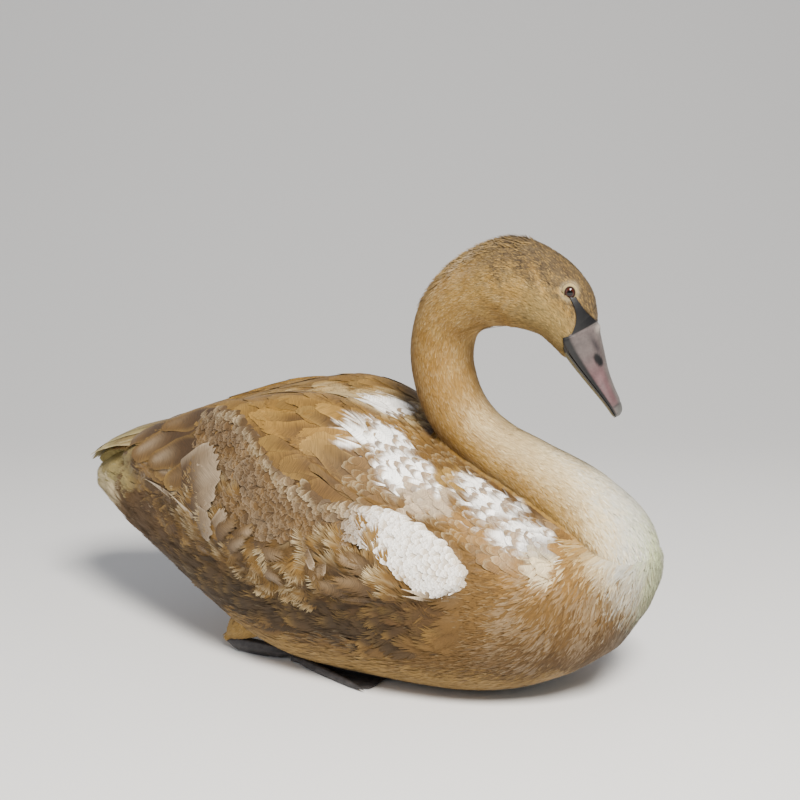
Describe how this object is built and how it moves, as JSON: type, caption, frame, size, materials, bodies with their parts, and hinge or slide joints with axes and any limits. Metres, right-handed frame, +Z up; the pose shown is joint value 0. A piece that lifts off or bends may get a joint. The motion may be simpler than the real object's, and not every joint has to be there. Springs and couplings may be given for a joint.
{
  "type": "mute swan, immature",
  "caption": "Life-size immature mute swan resting on its belly with an arched neck, folded wings and bowed bill; a still museum model.",
  "frame": {"origin": "on the floor, at the middle of the flat that the belly rests on", "axes": "+X towards the breast, +Y to the bird's left, +Z up"},
  "size_m": [0.674, 0.304, 0.4627],
  "materials": {
    "plumage": "soft feathers, buff brown mixed with white",
    "wing": "soft feathers, buff brown with pale tips",
    "neck": "plush feathers, golden buff",
    "head": "plush feathers, mottled grey brown",
    "eye": "wet gloss",
    "bill": "smooth horn, satin",
    "foot": "scaly skin, satin"
  },
  "bodies": {
    "root": {"trunk": "plumage", "tail": "plumage", "leg_left": "plumage", "leg_right": "plumage", "wing_left": "wing", "wing_right": "wing", "neck_lower": "neck", "neck_middle": "neck", "neck_upper": "neck", "head": "head", "eye_left": "eye", "eye_right": "eye", "bill_upper": "bill", "bill_lower": "bill", "tarsus_left": "foot", "tarsus_right": "foot", "foot_left": "foot", "foot_right": "foot"}
  },
  "joints": []
}
